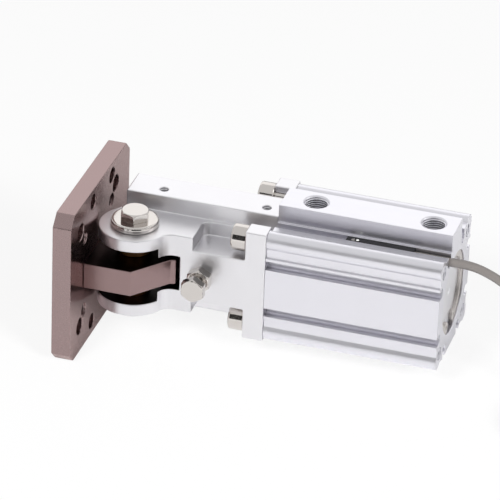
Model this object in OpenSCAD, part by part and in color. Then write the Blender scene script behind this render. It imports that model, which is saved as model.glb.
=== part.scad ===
// Swing-plate pneumatic cylinder: a compact square cylinder bolted to a hinge
// bracket, whose rod turns a mounting plate through a quarter turn.
// Millimetres, +Z up. The origin lies on the underside of the bracket, midway
// between its two tapped base holes; the cylinder's axis runs along +X.

/* [Cylinder] */
// Side of the square cross-section of barrel and flange
body_s = 45; // [44.5:0.5:50]
// Length of the barrel
barrel_l = 66.3; // [65:0.1:80]
// Bore of the barrel
bore_d = 32; // [28:0.5:33]
// Distance of the four corner screws from the sides
screw_inset = 5.5; // [5.4:0.05:6]
// Radius of the round beads at the barrel's corners
bead_r = 3.6; // [2.8:0.1:4]
// Depth of the upper side beside the ports
valley_t = 1.9; // [1.6:0.1:2]
// Depth of the lands between the beads and the fins
land_t = 1; // [0.6:0.1:1.4]
// Width of the flat panel on each side
panel_w = 16.4; // [14:0.1:17]
// Mouth width of the sensor grooves
groove_w = 3.4; // [3.2:0.05:3.8]
// Depth of the sensor grooves
groove_depth = 4.6; // [4:0.1:5]
// Width of a fin's tip beside its groove
lip_t = 1.3; // [0.8:0.05:1.6]
// Width of the raised port block
port_block_w = 14.2; // [12:0.1:16]
// Height of the port block above the square section
port_block_h = 5; // [3:0.1:6]
// Diameter of a port at its thread
port_d = 8.8; // [8:0.1:10]
// Depth of a port's thread
port_depth = 8.5; // [7:0.1:9.5]
// Distance of the front port from the barrel's front end
front_port_at = 12.4; // [12:0.1:15]
// Distance of the rear port from the barrel's rear end
rear_port_at = 9.1; // [8:0.1:11]
// Diameter of the piston rod
rod_d = 12; // [10:0.25:13]

/* [Cylinder inside] */
// Thickness of the rod cover
cover_t = 7.7; // [7:0.1:9]
// Thickness of the rear cap
cap_t = 7; // [6:0.1:8]
// Thickness of the retaining rings
ring_t = 1.2; // [0.8:0.1:1.5]
// Depth of a retaining ring in its groove
ring_grip = 1; // [0.6:0.1:1.4]
// Distance of each retaining ring from its end face
ring_inset = 0.7; // [0.6:0.1:1.6]
// Thickness of the cushion discs
bumper_t = 1.2; // [0.8:0.1:1.6]
// Section of the static seal rings
seal_d = 2; // [1.6:0.1:2.4]
// Outer diameter of the rod's wiper seal
wiper_d = 18; // [17:0.25:20]
// Width of the rod's wiper seal
wiper_w = 3; // [2.5:0.1:3.5]
// Wall of the rod bush
rod_bush_wall = 1.5; // [1:0.1:2]
// Diameter of the rod's two threaded stubs
stub_d = 8; // [6:0.25:9]

/* [Bracket] */
// Thickness of the flange against the barrel
flange_t = 8; // [7:0.25:10]
// Width of the central web
web_w = 14; // [13.5:0.25:16]
// Length of the web from the barrel's face
web_l = 59; // [56:0.5:62]
// Height of the clevis block
block_h = 32; // [30:0.5:33]
// Length of the screw pockets in front of the flange
pocket_l = 20; // [16:0.5:22]
// Height of a pocket's floor from the axis
pocket_z = 10.6; // [10:0.1:11]
// Corner radius inside a pocket
pocket_r = 3; // [1:0.25:4]
// Width of the strip left between a pocket and the web
pocket_strip = 1.5; // [1:0.1:2]
// Width of the flange's corner bosses
boss_w = 7.4; // [6.5:0.1:9]
// Pitch of the tapped base holes
base_pitch = 40; // [36:0.5:44]
// Distance of the nearer base hole from the barrel's face
base_edge = 6; // [4:0.25:7]
// Distance of the upper tapped holes in front of the web's middle
top_hole_side = 1.8; // [0:0.1:2.5]
// Diameter of the tapped base holes
base_hole_d = 3.3; // [2.5:0.1:4.2]
// Depth of the tapped base holes
base_hole_depth = 9; // [6:0.25:10]

/* [Hinge] */
// Distance of the hinge axis from the barrel's face
hinge_back = 51.5; // [50:0.25:54]
// Distance of the hinge axis in front of the cylinder's axis
hinge_side = 19.5; // [18.5:0.1:20.5]
// Radius of the bracket's ears
ear_r = 13.5; // [12:0.1:13.8]
// Thickness of each ear
ear_t = 5; // [4:0.1:6]
// Fillet between the ears and the block
neck_r = 5; // [3:0.25:6]
// Reach of the gap between the ears, from the hinge axis
gap_reach = 11.4; // [11.2:0.1:13]
// Height of the slot in which the arm turns
arm_slot_h = 14; // [13:0.25:15]
// Diameter of the hinge pin
pin_d = 10; // [9:0.25:11]
// Wall of the ears' bushes
bush_wall = 1.5; // [1:0.1:2]
// Diameter of the end washer and of the pin's lower head
washer_d = 18; // [16:0.25:20]
// Thickness of the end washer and of the pin's lower head
washer_t = 2.6; // [2:0.1:3]
// Thread diameter of the end bolt
hinge_bolt_d = 6; // [5:0.25:6.5]
// Width across flats of the end bolt
hinge_bolt_af = 10; // [9:0.25:11]
// Head height of the end bolt
hinge_bolt_h = 3.4; // [3:0.1:5]
// Thread length of the end bolt
hinge_bolt_l = 12; // [9:0.25:14]

/* [Swing arm] */
// Thickness of the arm
arm_t = 10.4; // [9:0.1:11]
// Distance of the arm's front face from the hinge axis
arm_front = 16.8; // [15:0.1:17]
// Distance of the arm's back face from the hinge axis
arm_back = 13.5; // [12:0.1:15]
// Reach of the flat front, beyond the hinge axis
nose_x = 4.2; // [2:0.1:5]
// Width of the arm inside the bracket, from the hinge axis
arm_right = 17.2; // [16.8:0.1:17.5]
// Distance of the arm's shoulder in front of the hinge axis
shoulder_y = 2.5; // [1.5:0.1:3.5]
// Radius of the drive pin's circle
crank_r = 21; // [20:0.1:21.5]
// Diameter of the drive pin
drive_pin_d = 6; // [5:0.25:7]
// Radius of the arm's eye around the drive pin
eye_r = 5.5; // [5:0.1:6]

/* [Swing plate] */
// Distance of the plate's inner face from the hinge axis
plate_gap = 14.2; // [14:0.1:15]
// Thickness of the plate
plate_t = 7.2; // [7:0.1:9]
// Height of the plate
plate_h = 61.8; // [60:0.2:70]
// Reach of the plate in front of the hinge axis
plate_front = 31.3; // [30:0.1:34]
// Reach of the plate behind the hinge axis
plate_back = 36.5; // [34:0.1:40]
// Corner chamfer of the plate
plate_chamfer = 4.2; // [2:0.1:4.5]
// Distance of the outer square's holes from the plate's upper and lower edges
wide_inset = 10.9; // [9.5:0.1:11.5]
// Diameter of the outer square's holes
wide_hole_d = 6.6; // [5:0.1:6.6]
// Distance of the inner square's holes from the plate's upper and lower edges
inner_inset = 15.6; // [15.4:0.1:17]
// Diameter of the inner square's holes
inner_hole_d = 5; // [4:0.1:5]
// Distance of the edge holes from the plate's upper and lower edges
edge_hole_inset = 5.3; // [4:0.1:6]
// Place of the front edge holes behind the hinge axis
edge_hole_front = -6; // [-8:0.25:-4]
// Distance of the back edge holes from the outer square's back holes, along the edge
edge_hole_step = 4.5; // [4:0.25:8]
// Diameter of the edge holes
edge_hole_d = 6; // [4:0.1:6.6]
// Places of the two screws that hold the arm, either side of the hinge axis
arm_screw_y = 9; // [8.5:0.1:10]

/* [Screws] */
// Thread diameter of the flange screws
flange_screw_d = 6; // [5:0.25:6]
// Head diameter of the flange screws
flange_head_d = 10; // [8.5:0.1:10]
// Head height of the flange screws
flange_head_h = 6; // [5:0.1:6]
// Socket width across flats of the flange screws
flange_socket_af = 5; // [3:0.25:5]
// Thread diameter of the arm screws
screw_d = 5; // [4:0.25:5]
// Head diameter of the arm screws
screw_head_d = 8.5; // [7:0.1:9]
// Head height of the arm screws
screw_head_h = 5; // [4:0.1:5.2]
// Socket width across flats of the arm screws
screw_socket_af = 4; // [2.5:0.25:4]
// Length of the screws' thread in the piece they hold
screw_bite = 11; // [8:0.25:12]
// Tapping diameter of the barrel's rear holes
rear_hole_d = 5; // [4:0.1:5]
// Depth of the barrel's rear holes
rear_hole_depth = 14; // [10:0.5:18]

/* [Stop] */
// Distance of the stop bolt from the barrel's face
stop_back = 24.6; // [23:0.1:28]
// Thread diameter of the stop bolt
stop_d = 5; // [4:0.1:5]
// Width across flats of the stop bolt and its nut
stop_af = 8.5; // [7:0.1:9]
// Turn of the stop bolt's and nut's hexagons
stop_turn = 30; // [0:1:60]
// Head height of the stop bolt
stop_head_h = 3.5; // [3:0.1:4]
// Thickness of the stop bolt's nut
stop_nut_t = 4; // [2.5:0.1:5]
// Length of the stop bolt's thread in the block
stop_bite = 12; // [8:0.25:12]

/* [Sensor] */
// Distance of the sensor from the barrel's front end
sensor_at = 27; // [20:0.5:34]
// Length of the sensor
sensor_l = 26; // [20:0.5:28]
// Diameter of the sensor's lead
lead_d = 3.3; // [2.5:0.1:3.3]

/* [Clearances] */
// Radial clearance of pins and rod in their bushes
run_gap = 0.03; // [0.02:0.01:0.06]
// Radial clearance of pieces pressed or screwed together
seat_gap = 0.03; // [0.02:0.01:0.06]
// Radial clearance of the piston in the bore
piston_gap = 0.1; // [0.06:0.01:0.15]
// Gap between flat faces that slide on each other
slide_gap = 0.1; // [0.05:0.01:0.2]
// Gap between pieces that pass each other
pass_gap = 0.45; // [0.35:0.05:0.6]
// Gap left at the stop bolt and at the cushions
stop_gap = 0.15; // [0.1:0.05:0.4]
// Radial clearance of screws in plain holes
screw_gap = 0.25; // [0.15:0.05:0.4]

/* [Hidden] */
$fn = 64;

// Places of the main faces, from the barrel's front face and the axis
half = body_s / 2;
joint_x = base_pitch / 2 + base_edge;
corner = half - screw_inset;
groove_mid = panel_w / 2 + groove_w / 2;
shelf = half - valley_t;
far = 200;

// Stack of pieces along the bore, front to rear
cover_x0 = ring_inset + ring_t;
cover_x1 = cover_x0 + cover_t;
cap_x1 = barrel_l - ring_inset - ring_t;
cap_x0 = cap_x1 - cap_t;
seal_groove_w = seal_d + 0.5;
seal_groove_r = bore_d / 2 - seal_d - 2 * seat_gap;
wiper_r = wiper_d / 2;
rod_bush_r = rod_d / 2 + rod_bush_wall;

// The hinge and the crank, from the hinge axis
hinge_x = joint_x - hinge_back;
ear_top = block_h / 2;
ear_in = ear_top - ear_t;
pin_half = ear_top + slide_gap;
crank_x = crank_r * cos(45);
stroke = 2 * crank_x;

// The piston fills what the stroke leaves between the cushions
piston_x1 = cap_x0 - bumper_t - stop_gap;
piston_x0 = cover_x1 + bumper_t + 2 * stop_gap + stroke;
// Turn of the end bolt's hexagon, as it was tightened
bolt_turn = 43;
// Play of the drive pin in its slot: a steady push against a turning crank
crank_play = 0.03 * crank_r + 0.3;

// The rod's yoke, from the barrel's front face
drive_x = -hinge_back + crank_x;
slot_half = drive_pin_d / 2 + crank_play;
prong_w = 3;
cheek_in = arm_t / 2 + pass_gap;
cheek_t = 3.2;
yoke_top = cheek_in + cheek_t;
yoke_half = web_w / 2 - 0.3;
root_x = drive_x + crank_x + shoulder_y + 2;
root_t = 6.2;
root_chamfer = 2.4;
yoke_end = -hinge_side + crank_r + drive_pin_d / 2 + pass_gap;
yoke_slot = yoke_top + pass_gap;

// Colours
aluminium = "#DCDCDF";
extruded = "#C6C6CC";
bronzed = "#8F7C7B";
steel = "#B9B6B3";
bright = "#D0CECC";
bronze = "#B4814E";
black = "#1E1E20";
rubber = "#2A2A2C";
sheath = "#A9A39A";

// Points of the sensor lead from the sensor to its coil, in the part's frame
lead_route = [[79, -9.9, 40.5], [85, -9.9, 40.5], [91, -9.9, 40.5],
    [97, -9.9, 40.6], [102, -9.9, 40.1], [107, -10, 38.6],
    [111.5, -10.2, 36.6], [116, -10.6, 34], [120, -11.2, 31], [123.5, -12, 27],
    [126.5, -12.8, 22.3], [129, -13.5, 17.2], [131.5, -14.1, 12],
    [134.4, -14.6, 7], [138, -14.9, 2.2], [142, -15, -1.2]];
// Coil of the lead's spare length, lying at the plate's lower edge
coil_at = [146, -34];
coil_r = 17.4;
coil_z = half - plate_h / 2 + 0.5;
coil_turns = 2;
tie_t = 0.5;
core_d = 1.2;
core_l = 16;
tail_l = 9;
tail_turn = 200;

// Frames: on the cylinder's axis at the barrel's face, and on the hinge axis
module on_axis() translate([joint_x, 0, half]) children();
module on_hinge() translate([hinge_x, -hinge_side, half]) children();

// A round bar along X, and a bored one
module bar_x(d, x0, x1) translate([x0, 0, 0]) rotate([0, 90, 0]) cylinder(d = d, h = x1 - x0);
module tube_x(d, inner, x0, x1) difference() {
    bar_x(d, x0, x1);
    bar_x(inner, x0 - 1, x1 + 1);
}
// A ring of round section about X
module ring_x(r, section, x) translate([x, 0, 0]) rotate([0, 90, 0])
    rotate_extrude() translate([r, 0]) circle(d = section, $fn = 32);
// The four screw places
module at_corners() for (y = [-corner, corner], z = [-corner, corner])
    translate([0, y, z]) children();
// A hexagon prism along Z, by its width across flats
module hex_bar(af, h) cylinder(d = af / cos(30), h = h, $fn = 6);
// A hexagon head with its corners turned off, along Z
module hex_head(af, h) intersection() {
    hex_bar(af, h);
    union() {
        cylinder(d = af * 1.16, h = h * 0.8);
        translate([0, 0, h * 0.8]) cylinder(d1 = af * 1.16, d2 = af * 0.95, h = h * 0.2);
    }
}
// A cap screw along +Z, with its head's seat at zero and its shank below
module cap_screw(d, head_d, head_h, af, l) difference() {
    union() {
        translate([0, 0, -l]) cylinder(d = d, h = l + 1);
        cylinder(d = head_d, h = head_h * 0.9);
        translate([0, 0, head_h * 0.9])
            cylinder(d1 = head_d, d2 = head_d - head_h * 0.2, h = head_h * 0.1);
    }
    translate([0, 0, head_h * 0.45]) hex_bar(af, head_h);
}

// A fin beside a groove: flat tip, then a step down to the land before the bead
module fin(s) {
    y0 = panel_w / 2 + groove_w;
    y1 = half - bead_r;
    tip = half - 0.2;
    p = [[shelf - 2, s * y0], [tip, s * y0], [tip, s * (y0 + lip_t)],
        [half - land_t, s * (y0 + lip_t + 0.2)], [half - land_t, s * y1], [shelf - 2, s * y1]];
    polygon(s > 0 ? p : [for (i = [5:-1:0]) p[i]]);
}

// Barrel cross-section: square core, corner beads, panels and fins on three sides, port block
module barrel_profile() difference() {
    union() {
        square(2 * shelf, center = true);
        translate([-port_block_w / 2, 0]) square([port_block_w, half + port_block_h]);
        for (a = [0:90:270]) rotate(a) translate([half - bead_r, half - bead_r]) circle(r = bead_r);
        for (a = [0, 180, 270]) rotate(a) {
            translate([0, -panel_w / 2]) square([half, panel_w]);
            fin(-1);
            fin(1);
        }
    }
    for (a = [0:90:270], s = [-1, 1]) rotate(a)
        translate([(a == 90 ? shelf : half) - groove_depth + groove_w / 2, s * groove_mid]) {
            circle(d = groove_w + 0.7);
            translate([0, -groove_w / 2]) square([far, groove_w]);
        }
}

// One port: its mouth, thread and the passage towards the chamber
module port_cut(x, inward) {
    top = half + port_block_h;
    translate([x, 0, top - port_depth]) cylinder(d = port_d, h = port_depth + 1);
    translate([x, 0, top - 0.6]) cylinder(d1 = port_d, d2 = port_d + 1.4, h = 0.7);
    translate([x + inward * port_d / 4, 0, 0]) cylinder(d = port_d * 0.45, h = top - 1);
}

module barrel() color(extruded) on_axis() difference() {
    rotate([90, 0, 90]) linear_extrude(barrel_l) barrel_profile();
    bar_x(bore_d, -1, barrel_l + 1);
    bar_x(bore_d + 2 * ring_grip, ring_inset, ring_inset + ring_t);
    bar_x(bore_d + 2 * ring_grip, barrel_l - ring_inset - ring_t, barrel_l - ring_inset);
    port_cut(front_port_at, 1);
    port_cut(barrel_l - rear_port_at, -1);
    at_corners() bar_x(flange_screw_d + 2 * seat_gap, -1, screw_bite + 1);
    at_corners() bar_x(rear_hole_d, barrel_l - rear_hole_depth, barrel_l + 1);
}

// Open retaining ring with two eyes for pliers
module snap_ring(x) translate([x, 0, 0]) rotate([90, 0, 90]) linear_extrude(ring_t) difference() {
    r_out = bore_d / 2 + ring_grip - seat_gap;
    r_in = bore_d / 2 - 2.6;
    union() {
        difference() {
            circle(r = r_out);
            circle(r = r_in);
            translate([-4, -r_out - 1]) square([8, r_out - r_in + 3]);
        }
        for (s = [-1, 1]) translate([s * 5.2, -r_in + 0.6]) circle(r = 2.2);
    }
    for (s = [-1, 1]) translate([s * 5.2, -r_in + 0.8]) circle(r = 0.9);
}

module rod_cover() color(aluminium) on_axis() difference() {
    bar_x(bore_d - 2 * seat_gap, cover_x0, cover_x1);
    bar_x(2 * (rod_bush_r + seat_gap), cover_x0 - 1, cover_x1 + 1);
    bar_x(2 * (wiper_r + seat_gap), cover_x0 - 1, cover_x0 + wiper_w);
    tube_x(bore_d + 2, 2 * seal_groove_r,
        cover_x1 - seal_groove_w - 1.4, cover_x1 - 1.4);
}
module cover_seal() color(rubber) on_axis()
    ring_x(bore_d / 2 - seal_d / 2 - seat_gap, seal_d, cover_x1 - seal_groove_w / 2 - 1.4);
module rod_bush() color(bronze) on_axis()
    tube_x(2 * rod_bush_r, rod_d + 2 * run_gap, cover_x0 + wiper_w, cover_x1);
module rod_seal() color(rubber) on_axis() difference() {
    bar_x(2 * wiper_r, cover_x0, cover_x0 + wiper_w);
    bar_x(rod_d + 2 * run_gap, cover_x0 - 1, cover_x0 + wiper_w + 1);
    translate([cover_x0 + wiper_w * 0.55, 0, 0]) tube_x(rod_d + 4, rod_d + 1.6, 0, wiper_w * 0.5);
}
module cover_ring() color(steel) on_axis() snap_ring(ring_inset);
module front_bumper() color(rubber) on_axis()
    tube_x(rod_d + 10, rod_d + 2, cover_x1, cover_x1 + bumper_t);

module rear_cap() color(aluminium) on_axis() difference() {
    bar_x(bore_d - 2 * seat_gap, cap_x0, cap_x1);
    tube_x(bore_d + 2, 2 * seal_groove_r, cap_x0 + 1.4, cap_x0 + 1.4 + seal_groove_w);
    translate([cap_x1 - 1.2, 0, 0]) rotate([0, 90, 0]) cylinder(d1 = 0.8, d2 = 3.2, h = 1.3);
}
module rear_cap_seal() color(rubber) on_axis()
    ring_x(bore_d / 2 - seal_d / 2 - seat_gap, seal_d, cap_x0 + 1.4 + seal_groove_w / 2);
module rear_ring() color(steel) on_axis() snap_ring(cap_x1);
module rear_bumper() color(rubber) on_axis()
    tube_x(rod_d + 10, rod_d, cap_x0 - bumper_t, cap_x0);

// Plan of the clevis block about the hinge axis: round ears, filleted neck, straight front
module block_plan() {
    front = half - hinge_side;
    neck_x = sqrt(pow(ear_r + neck_r, 2) - pow(front + neck_r, 2));
    web_at = [hinge_back - web_l, hinge_side - web_w / 2];
    reach = atan2(web_at[1], web_at[0]) + acos(min(1, ear_r / norm(web_at)));
    circle(r = ear_r, $fn = 96);
    translate([0, -front]) square([hinge_back, half]);
    polygon([[0, 0], ear_r * [cos(reach), sin(reach)], web_at, [neck_x, web_at[1]], [neck_x, 0]]);
    difference() {
        polygon([[0, 0], ear_r / (ear_r + neck_r) * [neck_x, -front - neck_r],
            [neck_x, -front - neck_r], [neck_x, -front], [neck_x, 0]]);
        translate([neck_x, -front - neck_r]) circle(r = neck_r);
    }
}

// Plan of a screw pocket, open to the front, with one round inner corner
module pocket_plan() {
    x0 = -flange_t - pocket_l;
    y1 = -web_w / 2 - pocket_strip;
    translate([x0, -far]) square([pocket_l, far + y1 - pocket_r]);
    translate([x0 + pocket_r, -far]) square([pocket_l - pocket_r, far + y1]);
    translate([x0 + pocket_r, y1 - pocket_r]) circle(r = pocket_r);
}

module hinge_bracket() color(aluminium) on_axis() difference() {
    union() {
        translate([-flange_t, -half, -half]) cube([flange_t, body_s, body_s]);
        translate([-web_l, -web_w / 2, -half]) cube([web_l, web_w, body_s]);
        translate([-hinge_back, -hinge_side, -ear_top]) linear_extrude(block_h) block_plan();
    }
    // Notches beside the web and the two screw pockets, above and below
    for (m = [0, 1]) mirror([0, 0, m]) {
        for (s = [0, 1]) mirror([0, s, 0]) translate([-flange_t - 1, web_w / 2, ear_top])
            cube([flange_t + 2, half - boss_w - web_w / 2, far]);
        translate([0, 0, pocket_z]) linear_extrude(far) pocket_plan();
        for (x = [0, base_pitch])
            translate([-base_edge - x, m == 0 ? -top_hole_side : 0, half - base_hole_depth])
                cylinder(d = base_hole_d, h = far);
    }
    // Gap between the ears and the slot in which the arm turns
    translate([-far, -far, -ear_in]) cube([far - hinge_back + gap_reach, far - web_w / 2, 2 * ear_in]);
    translate([-far, -far, -arm_slot_h / 2])
        cube([far - hinge_back + arm_right + 1.45, far - web_w / 2, arm_slot_h]);
    translate([-far, -hinge_side + crank_x - eye_r - 0.5, -arm_slot_h / 2])
        cube([far + drive_x + eye_r + 0.6, hinge_side, arm_slot_h]);
    // Slot in which the rod's yoke slides
    translate([-far, -web_w / 2, -yoke_slot]) cube([far + root_x + root_t + 0.6, far, 2 * yoke_slot]);
    translate([-far, -hinge_side + crank_x - drive_pin_d / 2 - pass_gap, -yoke_slot])
        cube([far + drive_x + drive_pin_d / 2 + pass_gap, hinge_side, 2 * yoke_slot]);
    bar_x(rod_d + 1, -far, 1);
    at_corners() bar_x(flange_screw_d + 2 * screw_gap, -flange_t - 1, 1);
    translate([-hinge_back, -hinge_side, -half])
        cylinder(d = pin_d + 2 * bush_wall + 2 * seat_gap, h = body_s);
    translate([-stop_back, -half + stop_bite + 0.5, 0]) rotate([90, 0, 0])
        cylinder(d = stop_d + 2 * seat_gap, h = far);
}

module flange_screws() color(bright) on_axis() at_corners()
    translate([-flange_t, 0, 0]) rotate([0, -90, 0])
        cap_screw(flange_screw_d, flange_head_d, flange_head_h, flange_socket_af, flange_t + screw_bite);

// Plain bush pressed into an ear, standing out of it as far as the arm
module ear_bush() difference() {
    translate([0, 0, arm_t / 2 + slide_gap])
        cylinder(d = pin_d + 2 * bush_wall, h = ear_top - arm_t / 2 - slide_gap);
    cylinder(d = pin_d + 2 * run_gap, h = body_s);
}
module upper_bush() color(bronze) on_hinge() ear_bush();
module lower_bush() color(bronze) on_hinge() mirror([0, 0, 1]) ear_bush();

// Stop bolt: its head meets the plate's inner face when the plate has swung
stop_face = hinge_side + plate_gap - stop_gap;
module stop_bolt() color(bright) on_axis() translate([-stop_back, -stop_face + stop_head_h, 0])
    rotate([90, 0, 0]) {
        rotate(stop_turn) hex_head(stop_af, stop_head_h);
        translate([0, 0, half - stop_bite - stop_face + stop_head_h])
            cylinder(d = stop_d, h = stop_face - stop_head_h - half + stop_bite);
    }
module stop_nut() color(bright) on_axis() translate([-stop_back, -half, 0]) rotate([90, 0, 0]) difference() {
    rotate(stop_turn) hex_head(stop_af, stop_nut_t);
    translate([0, 0, -1]) cylinder(d = stop_d + 2 * seat_gap, h = stop_nut_t + 2);
}

// Position sensor in the groove beside the port block, with its screw and lamp
sensor_y = -groove_mid;
sensor_w = groove_w - 0.4;
sensor_top = shelf - 0.15;
sensor_low = shelf - groove_depth + 0.2;
screw_at = sensor_at + 2.6;
led_at = sensor_at + 4.2;
module sensor_body() color(black) on_axis() difference() {
    translate([sensor_at, sensor_y, 0]) rotate([90, 0, 90]) linear_extrude(sensor_l) {
        translate([-sensor_w / 2, sensor_low + sensor_w / 2])
            square([sensor_w, sensor_top - sensor_low - sensor_w / 2]);
        translate([0, sensor_low + sensor_w / 2]) circle(d = sensor_w);
    }
    translate([screw_at, sensor_y, sensor_top - 1.5]) cylinder(d = 1.7, h = 5);
    translate([led_at, sensor_y, sensor_top - 0.6]) cylinder(d = 1.3, h = 5);
}
module sensor_screw() color(bright) on_axis() translate([screw_at, sensor_y, sensor_top - 1.5]) difference() {
    cylinder(d = 1.6, h = 1.4);
    translate([-2, -0.2, 0.9]) cube([4, 0.4, 2]);
}
module sensor_led() color("#F2F2EE") on_axis() translate([led_at, sensor_y, sensor_top - 0.6])
    cylinder(d = 1.2, h = 0.6);

// A round tube swept along a list of points, with eight sides
function unit(v) = v / norm(v);
function heading(p, i) = unit(p[min(i + 1, len(p) - 1)] - p[max(i - 1, 0)]);
function tube_ring(p, i, r) =
    let (t = heading(p, i), n = unit(cross(t, [0, 1, 0])), b = cross(t, n))
    [for (k = [0:7]) p[i] + r * (cos(45 * k) * n + sin(45 * k) * b)];
module swept_tube(p, d) polyhedron(
    points = [for (i = [0:len(p) - 1]) each tube_ring(p, i, d / 2)],
    faces = concat([[for (k = [0:7]) k]],
        [for (i = [0:len(p) - 2], k = [0:7])
            [8 * i + k, 8 * i + 8 + k, 8 * i + 8 + (k + 1) % 8, 8 * i + (k + 1) % 8]],
        [[for (k = [0:7]) 8 * len(p) - 1 - k]]));
module lead_tube() color(sheath) swept_tube(lead_route, lead_d);

// Coil of spare lead: two turns wide and two high, its tie, and the stripped cores
module at_coil() translate([coil_at[0], coil_at[1], coil_z]) children();
coil_w = coil_turns * lead_d;
module lead_coil() color(sheath) at_coil() rotate_extrude($fn = 96)
    translate([coil_r - coil_w / 2, 0]) square([coil_w, coil_w]);
module lead_tie() color(black) at_coil() rotate([0, 0, -60]) rotate_extrude(angle = 12) difference() {
    translate([coil_r - coil_w / 2 - tie_t, -tie_t])
        square([coil_w + 2 * tie_t, coil_w + 2 * tie_t]);
    translate([coil_r - coil_w / 2, 0]) square([coil_w, coil_w]);
}
module lead_cores() color("#6B4A36") at_coil() rotate([0, 0, tail_turn])
    translate([coil_r + coil_w / 2 - lead_d / 2, -tail_l, lead_d / 2]) rotate([90, 0, 0])
    for (s = [-1, 1]) translate([s * core_d * 0.55, 0, 0]) cylinder(d = core_d, h = core_l);

// Swing plate about the hinge axis: chamfered outline, drilled for the customer's tool
module plate_outline() {
    y0 = -plate_front;
    y1 = plate_back;
    z = plate_h / 2;
    c = plate_chamfer;
    polygon([[y0 + c, -z], [y1 - c, -z], [y1, -z + c], [y1, z - c],
        [y1 - c, z], [y0 + c, z], [y0, z - c], [y0, -z + c]]);
}
module plate_hole(y, z, d) translate([-plate_gap - plate_t - 1, y, z]) rotate([0, 90, 0])
    cylinder(d = d, h = plate_t + 2);
module swing_plate() color(bronzed) on_hinge() difference() {
    translate([-plate_gap - plate_t, 0, 0]) rotate([90, 0, 90]) linear_extrude(plate_t) plate_outline();
    for (y = [-1, 1], z = [-1, 1]) {
        plate_hole(y * (plate_h / 2 - wide_inset), z * (plate_h / 2 - wide_inset), wide_hole_d);
        plate_hole(y * (plate_h / 2 - inner_inset), z * (plate_h / 2 - inner_inset), inner_hole_d);
    }
    for (z = [-1, 1], y = [edge_hole_front, plate_h / 2 - wide_inset - edge_hole_step])
        plate_hole(y, z * (plate_h / 2 - edge_hole_inset), edge_hole_d);
    for (y = [-arm_screw_y, arm_screw_y]) {
        plate_hole(y, 0, screw_d + 2 * screw_gap);
        translate([-plate_gap - plate_t - 1, y, 0]) rotate([0, 90, 0])
            cylinder(d = screw_head_d + 2 * screw_gap, h = screw_head_h + 0.2 + 1);
    }
}

// Swing arm: plate foot, hinge boss and a tail that carries the drive pin
function tangent(p, c, r) = let (v = p - c, a = atan2(v[1], v[0]) - acos(r / norm(v)))
    c + r * [cos(a), sin(a)];
module arm_plan() {
    eye = [crank_x, crank_x];
    shoulder = [arm_right - 1.9, -shoulder_y - 0.5];
    back = [-3, arm_back];
    polygon([[-plate_gap, -arm_front], [nose_x, -arm_front], shoulder, [arm_right, -shoulder_y],
        [arm_right, eye[1] - sqrt(pow(eye_r, 2) - pow(arm_right - eye[0], 2))],
        eye, tangent(back, eye, eye_r), back, [-plate_gap, arm_back]]);
    translate(eye) circle(r = eye_r);
}
module swing_arm() color(bronzed) on_hinge() difference() {
    translate([0, 0, -arm_t / 2]) linear_extrude(arm_t) arm_plan();
    cylinder(d = pin_d + 2 * seat_gap, h = body_s, center = true);
    translate([crank_x, crank_x, 0]) cylinder(d = drive_pin_d + 2 * seat_gap, h = body_s, center = true);
    for (y = [-arm_screw_y, arm_screw_y]) translate([-plate_gap - 1, y, 0]) rotate([0, 90, 0])
        cylinder(d = screw_d + 2 * seat_gap, h = screw_bite + 1.5);
}
module arm_screws() color(bright) on_hinge() for (y = [-arm_screw_y, arm_screw_y])
    translate([-plate_gap - plate_t + screw_head_h + 0.2, y, 0]) rotate([0, -90, 0])
        cap_screw(screw_d, screw_head_d, screw_head_h, screw_socket_af,
            plate_t - screw_head_h - 0.2 + screw_bite);

// Hinge pin with a thin head under the lower ear, closed above by a washer and a bolt
module hinge_pin() color(steel) on_hinge() difference() {
    union() {
        translate([0, 0, -pin_half]) cylinder(d = pin_d, h = 2 * pin_half);
        translate([0, 0, -pin_half - washer_t]) cylinder(d = washer_d, h = washer_t);
    }
    translate([0, 0, pin_half - hinge_bolt_l + washer_t - 0.5])
        cylinder(d = hinge_bolt_d + 2 * seat_gap, h = body_s);
}
module hinge_washer() color(bright) on_hinge() translate([0, 0, pin_half]) difference() {
    union() {
        cylinder(d = washer_d, h = washer_t * 0.75);
        translate([0, 0, washer_t * 0.75])
            cylinder(d1 = washer_d, d2 = washer_d - washer_t * 0.5, h = washer_t * 0.25);
    }
    translate([0, 0, -1]) cylinder(d = hinge_bolt_d + 2 * seat_gap, h = washer_t + 2);
}
module hinge_bolt() color(bright) on_hinge() translate([0, 0, pin_half + washer_t]) {
    rotate(bolt_turn) hex_head(hinge_bolt_af, hinge_bolt_h);
    translate([0, 0, -hinge_bolt_l]) cylinder(d = hinge_bolt_d, h = hinge_bolt_l + 1);
}

module drive_pin() color(steel) on_hinge() translate([crank_x, crank_x, 0])
    cylinder(d = drive_pin_d, h = 2 * yoke_top - 0.6, center = true);

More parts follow.
